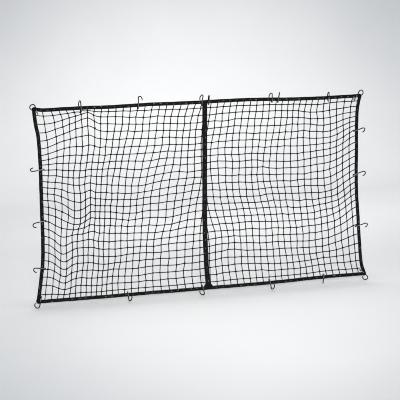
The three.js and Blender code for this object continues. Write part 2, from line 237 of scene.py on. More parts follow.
def add_node(
    tree: bpy.types.NodeTree, kind: str, feeds: Mapping[Any, Any] | None = None, **settings: Any,
) -> bpy.types.Node:
    """Adds a node to a tree, with its settings and links.

    Args:
        tree: The shader or geometry tree.
        kind: The node's type name.
        feeds: What each input socket takes, by name or number: a value, or an output socket to link from.
            A node stands for its first output.
        settings: The node's own properties.

    Returns:
        The new node.
    """
    node = tree.nodes.new(kind)
    for name, value in settings.items():
        setattr(node, name, value)
    for socket, feed in (feeds or {}).items():
        source = feed.outputs[0] if isinstance(feed, bpy.types.Node) else feed
        if isinstance(source, bpy.types.NodeSocket):
            tree.links.new(source, node.inputs[socket])
        else:
            node.inputs[socket].default_value = source
    return node


def new_material(name: str) -> tuple[bpy.types.Material, bpy.types.NodeTree, bpy.types.NodeSocket]:
    """Makes a material with no shader yet.

    Args:
        name: The material's name.

    Returns:
        The material, its node tree, and the piece's own coordinates in metres.
    """
    material = bpy.data.materials.new(name)
    material.use_nodes = True
    tree = material.node_tree
    tree.nodes.clear()
    return material, tree, add_node(tree, "ShaderNodeTexCoord").outputs["Object"]


def end_in_shader(
    tree: bpy.types.NodeTree,
    feeds: Mapping[str, Any],
    height: bpy.types.Node,
    relief: float,
    relief_mm: float,
) -> None:
    """Ends a material's tree in its shader.

    Args:
        tree: The material's tree.
        feeds: What the shader's sockets take.
        height: The pattern that stands out, from 0 to 1.
        relief: How strongly that shows, or 0 for a smooth surface.
        relief_mm: How far it stands out, in millimetres.
    """
    normal = {}
    if relief:
        bump = {"Height": height, "Strength": relief, "Distance": relief_mm * MM}
        normal["Normal"] = add_node(tree, "ShaderNodeBump", bump)
    shader = add_node(tree, "ShaderNodeBsdfPrincipled", {**feeds, **normal})
    add_node(tree, "ShaderNodeOutputMaterial", {"Surface": shader})


def pattern_scale(size_mm: float) -> float:
    """Gives the scale at which a pattern on metres has marks of a size in millimetres."""
    return 1 / (size_mm * MM)


def add_object(name: str, mesh: bpy.types.Mesh) -> bpy.types.Object:
    """Puts a mesh into the scene at the origin.

    Args:
        name: The object's name.
        mesh: Its mesh.

    Returns:
        The new object.
    """
    thing = bpy.data.objects.new(name, mesh)
    bpy.context.scene.collection.objects.link(thing)
    return thing


def mesh_from(
    name: str, points: np.ndarray, edges: Sequence[Sequence[int]] = (), faces: Sequence[Sequence[int]] = (),
) -> bpy.types.Mesh:
    """Makes a mesh from points in millimetres.

    Args:
        name: The mesh's name.
        points: One row of X, Y and Z for each point.
        edges: Pairs of points, where the mesh has no faces.
        faces: The points of each face, anticlockwise as seen from outside.

    Returns:
        The mesh, in metres and shaded smooth.
    """
    mesh = bpy.data.meshes.new(name)
    mesh.from_pydata((np.asarray(points) * MM).tolist(), list(edges), list(faces))
    mesh.polygons.foreach_set("use_smooth", [True] * len(mesh.polygons))
    mesh.update()
    return mesh


def declare(piece: bpy.types.Object, nodes: Sequence[str] = ()) -> None:
    """Ties a finished piece to the frame.

    Args:
        piece: The finished piece.
        nodes: The solids that it stands for.
    """
    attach(piece, BODY)
    if nodes:
        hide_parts(*nodes)
    LOG.info("%s: %d faces", piece.name, len(piece.data.polygons))


@dataclass(frozen=True)
class PatchyFinish:
    """A plain finish of two close tones, which lie in uneven patches and may stand out a little."""

    name: str
    light: str
    dark: str
    roughness: float
    shine: float
    patch_mm: float
    detail: float
    relief: float = 0.0
    relief_mm: float = 0.0

    def material(self) -> bpy.types.Material:
        """Makes the material.

        Returns:
            A material on object coordinates.
        """
        material, tree, place = new_material(self.name)
        patches = add_node(tree, "ShaderNodeTexNoise", {
            "Vector": place, "Scale": pattern_scale(self.patch_mm), "Detail": self.detail,
        })
        tones = {0: patches, 6: linear(self.dark), 7: linear(self.light)}
        colour = add_node(tree, "ShaderNodeMix", tones, data_type="RGBA").outputs[2]
        feeds = {"Base Color": colour, "Roughness": self.roughness, "Specular IOR Level": self.shine}
        end_in_shader(tree, feeds, patches, self.relief, self.relief_mm)
        return material


# The net's twine drawn tight: darker in the knots' turns, with small strand marks all over
KNOTTED_TWINE = PatchyFinish(
    "polyethylene_twine_knotted", light="#1c1c1e", dark="#050506", roughness=0.66, shine=0.25,
    patch_mm=2.0, detail=2.0, relief=0.7, relief_mm=0.4,
)
# Bonded nylon: short soft glints on tight stitches, a little uneven in tone
BLACK_THREAD = PatchyFinish(
    "nylon_thread_black", light="#2d2d30", dark="#141416", roughness=0.55, shine=0.5,
    patch_mm=30.0, detail=2.0,
)
# The same thread in light grey, which stands out on the webbing
GREY_THREAD = PatchyFinish(
    "nylon_thread_light_grey", light="#e6e6e2", dark="#8c8c8a", roughness=0.55, shine=0.5,
    patch_mm=30.0, detail=2.0,
)
# Matt painted studio board: pale and even, with hardly any shine
PAINTED_BOARD = PatchyFinish(
    "matt_painted_board", light="#f4f4f5", dark="#efeff0", roughness=0.95, shine=0.1,
    patch_mm=900.0, detail=1.0,
)


@dataclass(frozen=True)
class TwineFinish:
    """Polyethylene twine of three laid strands: black, a dull shine, and painted shade in the grooves."""

    crown: str = "#1a1a1c"
    painted_groove_shade: str = "#060607"
    faded: str = "#252528"
    roughness: float = 0.62
    shine: float = 0.25
    lay_mm: float = 11.0
    strands: int = 3
    relief: float = 0.8
    relief_mm: float = 0.5
    fade_patch_mm: float = 70.0
    fade_detail: float = 3.0

    def material(self) -> bpy.types.Material:
        """Makes the twine's material.

        Returns:
            A material that reads the run along the twine and the way round it from the mesh's attributes.
        """
        material, tree, place = new_material("polyethylene_twine_laid")
        run = add_node(tree, "ShaderNodeAttribute", attribute_name="run").outputs["Fac"]
        around = add_node(tree, "ShaderNodeAttribute", attribute_name="around").outputs["Vector"]
        sides = add_node(tree, "ShaderNodeSeparateXYZ", {0: around}).outputs
        angle = add_node(tree, "ShaderNodeMath", {0: sides["Y"], 1: sides["X"]}, operation="ARCTAN2")
        pace = 2 * math.pi * self.strands / (self.lay_mm * MM)
        turns = add_node(tree, "ShaderNodeMath", {0: run, 1: pace}, operation="MULTIPLY")
        wound = {0: angle, 1: self.strands, 2: turns}
        phase = add_node(tree, "ShaderNodeMath", wound, operation="MULTIPLY_ADD")
        lay = add_node(tree, "ShaderNodeMath", {0: phase}, operation="SINE")
        height = add_node(tree, "ShaderNodeMath", {0: lay, 1: 0.5, 2: 0.5}, operation="MULTIPLY_ADD")
        patches = add_node(tree, "ShaderNodeTexNoise", {
            "Vector": place, "Scale": pattern_scale(self.fade_patch_mm), "Detail": self.fade_detail,
        })
        tones = {0: patches, 6: linear(self.crown), 7: linear(self.faded)}
        crown = add_node(tree, "ShaderNodeMix", tones, data_type="RGBA").outputs[2]
        # The grooves between the strands take a darker tone: painted shade, on top of the bump of the same
        # lay
        tones = {0: height, 6: linear(self.painted_groove_shade), 7: crown}
        colour = add_node(tree, "ShaderNodeMix", tones, data_type="RGBA").outputs[2]
        feeds = {"Base Color": colour, "Roughness": self.roughness, "Specular IOR Level": self.shine}
        end_in_shader(tree, feeds, height, self.relief, self.relief_mm)
        return material


@dataclass(frozen=True)
class WebbingFinish:
    """Flat-woven polyester webbing: black ribs across it, painted shade between them, a dusty bloom of wear.

    The weave is drawn at about twice its real spacing, because the real one is too fine to show.
    """

    rib_top: str = "#18181a"
    painted_rib_gap_shade: str = "#050506"
    bloom: str = "#38383b"
    roughness: float = 0.7
    shine: float = 0.25
    rib_mm: float = 4.2
    warp_mm: float = 3.2
    relief: float = 0.7
    relief_mm: float = 0.5
    bloom_patch_mm: float = 45.0
    bloom_detail: float = 5.0
    bloom_from: float = 0.52
    bloom_to: float = 0.78
    bloom_most: float = 0.8

    def material(self) -> bpy.types.Material:
        """Makes the webbing's material.

        Returns:
            A material on the strip's own map, with metres along the strip and across it.
        """
        material, tree, place = new_material("polyester_webbing_woven")
        strip = add_node(tree, "ShaderNodeUVMap", uv_map="strip")
        axes = add_node(tree, "ShaderNodeSeparateXYZ", {0: strip}).outputs
        waves = []
        for axis, spacing in (("X", self.rib_mm), ("Y", self.warp_mm)):
            pace = 2 * math.pi / (spacing * MM)
            turns = add_node(tree, "ShaderNodeMath", {0: axes[axis], 1: pace}, operation="MULTIPLY")
            waves.append(add_node(tree, "ShaderNodeMath", {0: turns}, operation="SINE"))
        weave = add_node(tree, "ShaderNodeMath", {0: waves[0], 1: waves[1]}, operation="MULTIPLY")
        height = add_node(tree, "ShaderNodeMath", {0: weave, 1: 0.5, 2: 0.5}, operation="MULTIPLY_ADD")
        wear_and_painted_highlight = add_node(tree, "ShaderNodeTexNoise", {
            "Vector": place, "Scale": pattern_scale(self.bloom_patch_mm), "Detail": self.bloom_detail,
        })
        share = add_node(tree, "ShaderNodeMapRange", {
            "Value": wear_and_painted_highlight, "From Min": self.bloom_from, "From Max": self.bloom_to, "To Max": self.bloom_most,
        })
        # The gaps between the ribs take a darker tone: painted shade, on top of the bump of the same weave
        tones = {0: height, 6: linear(self.painted_rib_gap_shade), 7: linear(self.rib_top)}
        ribs = add_node(tree, "ShaderNodeMix", tones, data_type="RGBA").outputs[2]
        tones = {0: share, 6: ribs, 7: linear(self.bloom)}
        colour = add_node(tree, "ShaderNodeMix", tones, data_type="RGBA").outputs[2]
        feeds = {"Base Color": colour, "Roughness": self.roughness, "Specular IOR Level": self.shine}
        end_in_shader(tree, feeds, height, self.relief, self.relief_mm)
        return material


@dataclass(frozen=True)
class ZincFinish:
    """Zinc-plated steel wire: dark grey in cloudy patches, a painted highlight where it lies on the webbing.
    """

    bright: str = "#3a3c40"
    dull: str = "#1c1d20"
    # A pale tone painted along part of the wire's run as a highlight: its colour, and where it starts, ends
    # and fades in
    wear_and_painted_highlight: str = "#d4d6d9"
    highlight_from_mm: float = 36.0
    highlight_to_mm: float = 70.0
    highlight_fade_mm: float = 8.0
    smooth: float = 0.3
    rough: float = 0.55
    patch_mm: float = 9.0
    patch_detail: float = 4.0
    mark_mm: float = 1.2
    mark_detail: float = 2.0
    relief: float = 0.5
    relief_mm: float = 0.08

    def material(self) -> bpy.types.Material:
        """Makes the wire's material.

        Returns:
            A metal on object coordinates, which reads the run along the wire from the mesh's attribute.
        """
        material, tree, place = new_material("zinc_plated_steel_wire")
        clouds, marks = (
            add_node(tree, "ShaderNodeTexNoise", {
                "Vector": place, "Scale": pattern_scale(size), "Detail": detail,
            })
            for size, detail in ((self.patch_mm, self.patch_detail), (self.mark_mm, self.mark_detail))
        )
        run = add_node(tree, "ShaderNodeAttribute", attribute_name="run").outputs["Fac"]
        # The stretch of wire that lies on the webbing takes a pale tone: a painted highlight, broken up by
        # the cloudy patches
        painted_highlight_mask = clouds
        for outer, inner in (
            (self.highlight_from_mm - self.highlight_fade_mm, self.highlight_from_mm),
            (self.highlight_to_mm + self.highlight_fade_mm, self.highlight_to_mm),
        ):
            inside = add_node(
                tree, "ShaderNodeMapRange", {"Value": run, "From Min": outer * MM, "From Max": inner * MM},
                interpolation_type="SMOOTHSTEP",
            )
            painted_highlight_mask = add_node(tree, "ShaderNodeMath", {0: painted_highlight_mask, 1: inside}, operation="MULTIPLY")
        tones = {0: clouds, 6: linear(self.dull), 7: linear(self.bright)}
        plated = add_node(tree, "ShaderNodeMix", tones, data_type="RGBA").outputs[2]
        tones = {0: painted_highlight_mask, 6: plated, 7: linear(self.wear_and_painted_highlight)}
        colour = add_node(tree, "ShaderNodeMix", tones, data_type="RGBA").outputs[2]
        rough = {"Value": clouds, "To Min": self.rough, "To Max": self.smooth}
        feeds = {
            "Base Color": colour, "Metallic": 1.0, "Roughness": add_node(tree, "ShaderNodeMapRange", rough),
        }
        end_in_shader(tree, feeds, marks, self.relief, self.relief_mm)
        return material


@dataclass
class NodeRig:
    """A Geometry Nodes tree with named inputs, which is run on an object and leaves a plain mesh."""

    name: str
    inputs: Mapping[str, str]
    tree: bpy.types.NodeTree = field(init=False)
    entry: bpy.types.Node = field(init=False)

    def __post_init__(self) -> None:
        """Makes the tree, its geometry sockets and its named inputs."""
        self.tree = bpy.data.node_groups.new(self.name, "GeometryNodeTree")
        face = self.tree.interface
        face.new_socket("Geometry", in_out="OUTPUT", socket_type="NodeSocketGeometry")
        for label, kind in {"Geometry": "NodeSocketGeometry", **self.inputs}.items():
            face.new_socket(label, in_out="INPUT", socket_type=kind)
        self.entry = add_node(self.tree, "NodeGroupInput")

    def close(self, shape: bpy.types.Node) -> None:
        """Ends the tree in realized instances with the finish set.

        Args:
            shape: The node that makes the tree's geometry.
        """
        smooth = add_node(self.tree, "GeometryNodeSetShadeSmooth", {0: shape})
        real = add_node(self.tree, "GeometryNodeRealizeInstances", {0: smooth})
        finish = {"Geometry": real, "Material": self.entry.outputs["Finish"]}
        dressed = add_node(self.tree, "GeometryNodeSetMaterial", finish)
        add_node(self.tree, "NodeGroupOutput", {0: dressed})

    def run(self, name: str, source: bpy.types.Mesh, values: Mapping[str, Any]) -> bpy.types.Object:
        """Runs the tree on a mesh.

        Args:
            name: The name of the piece.
            source: The mesh that the tree starts from.
            values: A value for each named input.

        Returns:
            A piece with a plain mesh and no modifier.
        """
        piece = add_object(name, source)
        rig = piece.modifiers.new(self.name, "NODES")
        rig.node_group = self.tree
        for item in self.tree.interface.items_tree:
            if item.item_type == "SOCKET" and item.in_out == "INPUT" and item.name in values:
                rig[item.identifier] = values[item.name]
        seen = piece.evaluated_get(bpy.context.evaluated_depsgraph_get())
        mesh = bpy.data.meshes.new_from_object(seen)
        piece.modifiers.clear()
        piece.data = mesh
        mesh.name = name
        bpy.data.meshes.remove(source)
        return piece


def sweep_rig() -> NodeRig:
    """Makes the tree that draws a round strand along each line of a mesh.

    Returns:
        The rig. Each point of a line carries its taper, and the strand keeps its run and the way round it.
    """
    rig = NodeRig("round_strand", {
        "Diameter": "NodeSocketFloat", "Sides": "NodeSocketInt", "Finish": "NodeSocketMaterial",
    })
    tree, entry = rig.tree, rig.entry.outputs
    line = add_node(tree, "GeometryNodeMeshToCurve", {0: entry["Geometry"]})
    length = add_node(tree, "GeometryNodeSplineParameter").outputs["Length"]
    measured = add_node(
        tree, "GeometryNodeStoreNamedAttribute", {"Geometry": line, "Name": "run", "Value": length},
        data_type="FLOAT", domain="POINT",
    )
    half = add_node(tree, "ShaderNodeMath", {0: entry["Diameter"], 1: 0.5}, operation="MULTIPLY")
    sizes = {"Resolution": entry["Sides"], "Radius": half}
    ring = add_node(tree, "GeometryNodeCurvePrimitiveCircle", sizes, mode="RADIUS")
    spot = add_node(tree, "GeometryNodeInputPosition")
    around = add_node(tree, "ShaderNodeVectorMath", {0: spot}, operation="NORMALIZE")
    section = add_node(
        tree, "GeometryNodeStoreNamedAttribute", {"Geometry": ring, "Name": "around", "Value": around},
        data_type="FLOAT_VECTOR", domain="POINT",
    )
    taper = add_node(tree, "GeometryNodeInputNamedAttribute", {"Name": "taper"}, data_type="FLOAT")
    rig.close(add_node(tree, "GeometryNodeCurveToMesh", {
        "Curve": measured, "Profile Curve": section, "Scale": taper, "Fill Caps": True,
    }))
    return rig


def scatter_rig() -> NodeRig:
    """Makes the tree that sets a small shape on each point of a mesh.

    Returns:
        The rig. Each point carries the way along, which the shape's X follows, and the way to the back,
        which its Y follows.
    """
    rig = NodeRig("set_out_in_rows", {
        "Shape": "NodeSocketObject", "Size Spread": "NodeSocketFloat", "Turn Spread": "NodeSocketFloat",
        "Seed": "NodeSocketInt", "Finish": "NodeSocketMaterial",
    })
    tree, entry = rig.tree, rig.entry.outputs
    seed, most = entry["Seed"], entry["Turn Spread"]
    spots = add_node(tree, "GeometryNodeMeshToPoints", {"Mesh": entry["Geometry"]})
    shape = add_node(tree, "GeometryNodeObjectInfo", {"Object": entry["Shape"]}).outputs["Geometry"]
    along, back = (
        add_node(tree, "GeometryNodeInputNamedAttribute", {"Name": name}, data_type="FLOAT_VECTOR")
        for name in ("along", "back")
    )
    faced = add_node(tree, "FunctionNodeAlignRotationToVector", {"Vector": along}, axis="X")
    ways = {"Rotation": faced, "Vector": back}
    turned = add_node(tree, "FunctionNodeAlignRotationToVector", ways, axis="Y", pivot_axis="X")
    least = add_node(tree, "ShaderNodeMath", {0: most, 1: -1.0}, operation="MULTIPLY")
    angle = add_node(tree, "FunctionNodeRandomValue", {2: least, 3: most, "Seed": seed}, data_type="FLOAT")
    about = {"Axis": (0.0, 1.0, 0.0), "Angle": angle.outputs[1]}
    twist = add_node(tree, "FunctionNodeAxisAngleToRotation", about)
    loose = add_node(tree, "FunctionNodeRotateRotation", {0: turned, 1: twist}, rotation_space="LOCAL")
    small, large = (
        add_node(tree, "ShaderNodeMath", {0: 1.0, 1: entry["Size Spread"]}, operation=step)
        for step in ("SUBTRACT", "ADD")
    )
    size = add_node(tree, "FunctionNodeRandomValue", {2: small, 3: large, "Seed": seed}, data_type="FLOAT")
    rig.close(add_node(tree, "GeometryNodeInstanceOnPoints", {
        "Points": spots, "Instance": shape, "Rotation": loose, "Scale": size.outputs[1],
    }))
    return rig


def set_out(
    scatter: NodeRig,
    name: str,
    shape: bpy.types.Object,
    spots: np.ndarray,
    along: np.ndarray,
    values: Mapping[str, Any],
) -> bpy.types.Object:
    """Sets a small shape on each of many places, and takes the shape itself out of the scene.

    Args:
        scatter: The tree that sets out small shapes.
        name: The name of the piece.
        shape: The small shape.
        spots: Places in millimetres.
        along: The way along at each place.
        values: A value for each other input of the tree.

    Returns:
        The piece.
    """
    mesh = mesh_from(f"{name}_spots", spots)
    for label, ways in (("along", along), ("back", np.tile(TO_BACK, (len(spots), 1)))):
        layer = mesh.attributes.new(label, "FLOAT_VECTOR", "POINT")
        layer.data.foreach_set("vector", np.asarray(ways, dtype=np.float32).ravel())
    piece = scatter.run(name, mesh, {"Shape": shape, **values})
    bpy.data.objects.remove(shape)
    return piece


def line_mesh(name: str, lines: Sequence[np.ndarray], taper: np.ndarray | None = None) -> bpy.types.Mesh:
    """Makes a mesh of open lines for the sweep tree.

    Args:
        name: The mesh's name.
        lines: The points of each line, in millimetres.
        taper: The strand's share of its full width at each point, or None for full width all along.

    Returns:
        The mesh, with the taper as an attribute.
    """
    edges = []
    first = 0
    for line in lines:
        edges.extend((k, k + 1) for k in range(first, first + len(line) - 1))
        first += len(line)
    mesh = mesh_from(name, np.concatenate(lines), edges=edges)
    widths = np.ones(first) if taper is None else taper
    mesh.attributes.new("taper", "FLOAT", "POINT").data.foreach_set("value", widths.astype(np.float32))
    return mesh


def tube_faces(first: int, rings: int, around: int) -> list[list[int]]:
    """Joins rings of points into a tube with closed ends.

    Args:
        first: The number of the first ring's first point.
        rings: How many rings there are.
        around: How many points each ring has.

    Returns:
        The points of each face.
    """
    last = first + (rings - 1) * around
    faces = []
    for here in range(first, last, around):
        for k in range(around):
            nxt = (k + 1) % around
            faces.append([here + k, here + nxt, here + around + nxt, here + around + k])
    faces.append([first + k for k in reversed(range(around))])
    faces.append([last + k for k in range(around)])
    return faces


def thread_shape(
    name: str, lines: Sequence[np.ndarray], widths: Sequence[np.ndarray], sides: int,
) -> bpy.types.Object:
    """Makes a small shape of a few closed tubes, to be set out many times.

    Args:
        name: The shape's name.
        lines: The middle line of each tube, in millimetres.
        widths: The tube's half width at each point of its line.
        sides: How many sides each tube has.

    Returns:
        The shape, which is not shown itself.
    """
    points: list[np.ndarray] = []
    faces: list[list[int]] = []
    for line, width in zip(lines, widths):
        faces += tube_faces(len(points), len(line), sides)
        ways = np.gradient(line, axis=0)
        ways /= np.linalg.norm(ways, axis=1)[:, None]
        for spot, way, half in zip(line, ways, width):
            first = np.cross(way, ASLANT)
            first /= np.linalg.norm(first)
            second = np.cross(way, first)
            for k in range(sides):
                angle = 2 * math.pi * k / sides
                points.append(spot + half * (math.cos(angle) * first + math.sin(angle) * second))
    shape = add_object(name, mesh_from(name, np.array(points), faces=faces))
    shape.hide_render = True
    return shape


def joined(rows: Sequence[tuple[np.ndarray, np.ndarray]]) -> tuple[np.ndarray, np.ndarray]:
    """Joins pairs of places and their ways along into one pair."""
    return np.concatenate([row[0] for row in rows]), np.concatenate([row[1] for row in rows])


def bow_at(rows: Sequence[Bow], at: np.ndarray) -> np.ndarray:
    """Draws a smooth line through the rows of a table along an edge.

    Args:
        rows: The table, in order along the edge.
        at: Shares of the edge's length.

    Returns:
        How far off things are there, in the table's own measure.
    """
    places = np.array([row.at for row in rows], dtype=float)
    offs = np.array([row.off for row in rows], dtype=float)
    before = np.maximum(np.arange(len(rows)) - 1, 0)
    after = np.minimum(np.arange(len(rows)) + 1, len(rows) - 1)
    slopes = (offs[after] - offs[before]) / (places[after] - places[before])
    nxt = np.clip(np.searchsorted(places, at), 1, len(rows) - 1)
    span = places[nxt] - places[nxt - 1]
    s = (at - places[nxt - 1]) / span
    ease = s * s * (3 - 2 * s)
    start = slopes[nxt - 1] * span * s * (1 - s) ** 2
    end = slopes[nxt] * span * s * s * (1 - s)
    return offs[nxt - 1] + (offs[nxt] - offs[nxt - 1]) * ease + start - end


def smoothstep(value: np.ndarray, low: float, high: float) -> np.ndarray:
    """Eases from 0 at low to 1 at high."""
    share = np.clip((value - low) / (high - low), 0, 1)
    return share * share * (3 - 2 * share)


@dataclass
class HungSheet:
    """The hanging shape that the net, the webbing and the hooks share."""

    strap_top: float = 0.508
    strap_bottom: float = 0.505
    strap_width: float = 36.0
    held_margin: float = 110.0
    slide_margin: float = 60.0
    twine: float = 6.0
    layer_gap: float = 1.0
    webbing: float = 2.2
    direction_step: float = 0.004

    def straight(self, edge: Edge) -> tuple[np.ndarray, np.ndarray]:
        """Gives the two ends of an edge's straight line.

        Args:
            edge: The edge.

        Returns:
            X and Z of its start and of its end.
        """
        if edge is Edge.STRAP:
            return (
                self.edge_line(Edge.TOP, np.array([self.strap_top]))[0],
                self.edge_line(Edge.BOTTOM, np.array([self.strap_bottom]))[0],
            )
        first, last = (np.array(CORNERS[corner], dtype=float) for corner in EDGE_ENDS[edge])
        return first, last

    def edge_line(self, edge: Edge, at: np.ndarray) -> np.ndarray:
        """Gives places on the middle line of a strip of webbing.

        Args:
            edge: The edge that the strip runs along.
            at: Shares of its length.

        Returns:
            A row of X and Z for each share.
        """
        start, end = self.straight(edge)
        line = start + (end - start) * np.asarray(at)[:, None]
        bow = bow_at(BOWS[edge], np.asarray(at, dtype=float))
        if edge in (Edge.TOP, Edge.BOTTOM):
            line[:, 1] += bow
        else:
            line[:, 0] += -bow if edge is Edge.RIGHT else bow
        return line

    def direction(self, edge: Edge, at: np.ndarray) -> np.ndarray:
        """Gives the way along an edge.

        Args:
            edge: The edge.
            at: Shares of its length.

        Returns:
            A row of X and Z for each share, of length 1.
        """
        low = self.edge_line(edge, np.maximum(at - self.direction_step, 0))
        high = self.edge_line(edge, np.minimum(at + self.direction_step, 1))
        return (high - low) / np.linalg.norm(high - low, axis=1)[:, None]

    def depth(self, x: np.ndarray, z: np.ndarray) -> np.ndarray:
        """Gives how far back the middle of the twine lies at places on the sheet."""
        return -sum(swell.toward * self.nearness(swell, x, z) for swell in SWELLS)

    def under_webbing(self, points: np.ndarray, margin: float) -> np.ndarray:
        """Tells which places lie behind the webbing, or within a margin of it.

        Args:
            points: Rows of X, Y and Z.
            margin: How far past the webbing's edge still counts.

        Returns:
            True for each place that webbing covers.
        """
        covered = np.zeros(len(points), dtype=bool)
        place = points[:, (0, 2)]
        for edge in Edge:
            start, end = self.straight(edge)
            run, off = (0, 1) if edge in (Edge.TOP, Edge.BOTTOM) else (1, 0)
            at = np.clip((place[:, run] - start[run]) / (end[run] - start[run]), 0, 1)
            half = (self.strap_width if edge is Edge.STRAP else WEBBING_WIDTH) / 2
            covered |= np.abs(place[:, off] - self.edge_line(edge, at)[:, off]) < half + margin
        return covered

    @staticmethod
    def nearness(swell: Swell, x: np.ndarray, z: np.ndarray) -> np.ndarray:
        """Fades from 1 at the middle of a swell to 0 far from it."""
        return np.exp(-(((x - swell.x) / swell.wide) ** 2) - ((z - swell.z) / swell.high) ** 2)

    @staticmethod
    def grip(pull: Pull, x: np.ndarray, z: np.ndarray) -> np.ndarray:
        """Fades from 1 at the middle of a pull to 0 far from it.

        Args:
            pull: The pull, with its reach to each side.
            x: Places across the sheet.
            z: Places up the sheet.

        Returns:
            The share of the pull that acts at each place.
        """
        wide = np.where(x < pull.x, pull.left, pull.right)
        high = np.where(z < pull.z, pull.below, pull.above)
        return np.exp(-(((x - pull.x) / wide) ** 2) - ((z - pull.z) / high) ** 2)

    @staticmethod
    def held(far_off: Sequence[np.ndarray], margin: float) -> np.ndarray:
        """Fades from 0 along the edges that hold the net to 1 where it is far off all of them."""
        return np.prod([1 - np.exp(-((far / margin) ** 2)) for far in far_off], axis=0)

    @staticmethod
    def bunched(is_left: bool, across: np.ndarray, down: np.ndarray) -> np.ndarray:
        """Moves shares of a panel's width towards the strap, where the last of them are bunched."""
        more = 1 + bow_at(GATHERS[Edge.LEFT if is_left else Edge.RIGHT], down)
        return np.minimum(across * more, 1) if is_left else np.maximum(1 - (1 - across) * more, 0)

    def panel(self, is_left: bool, across: np.ndarray, down: np.ndarray) -> np.ndarray:
        """Gives places on the net, on one side of the strap.

        Args:
            is_left: True for the panel left of the strap.
            across: Shares of the panel's width.
            down: Shares of its height.

        Returns:
            A row of X, Y and Z for each place.
        """
        across = self.bunched(is_left, across, down)
        near, far = (Edge.LEFT, Edge.STRAP) if is_left else (Edge.STRAP, Edge.RIGHT)

        def along(share: float) -> np.ndarray:
            """Turns a share of the panel's width into a share of the border's length."""
            return across * share if is_left else share + across * (1 - share)

        a, d = across[:, None], down[:, None]
        top = self.edge_line(Edge.TOP, along(self.strap_top))
        bottom = self.edge_line(Edge.BOTTOM, along(self.strap_bottom))
        near_line, far_line = self.edge_line(near, down), self.edge_line(far, down)
        ends = [self.edge_line(edge, np.array([0.0, 1.0])) for edge in (near, far)]
        flat_top = ends[0][0] * (1 - a) + ends[1][0] * a
        flat_bottom = ends[0][1] * (1 - a) + ends[1][1] * a
        place = (
            near_line * (1 - a) + far_line * a + top * (1 - d) + bottom * d
            - flat_top * (1 - d) - flat_bottom * d
        )
        width = (far_line - near_line)[:, 0]
        height = (top - bottom)[:, 1]
        to_sides, to_ends = (across * width, (1 - across) * width), (down * height, (1 - down) * height)
        free = np.stack([
            self.held(to_sides, self.slide_margin),
            self.held((*to_sides, *to_ends), self.held_margin),
            self.held(to_ends, self.slide_margin),
        ], axis=1)
        x, z = place[:, 0], place[:, 1]
        points = np.stack([x, np.zeros_like(x), z], axis=1)
        for pull in PULLS:
            move = np.array([pull.shift, -pull.toward, pull.lift], dtype=float)
            points += self.grip(pull, x, z)[:, None] * free * move
        points[:, 1] += self.depth(points[:, 0], points[:, 2])
        return points


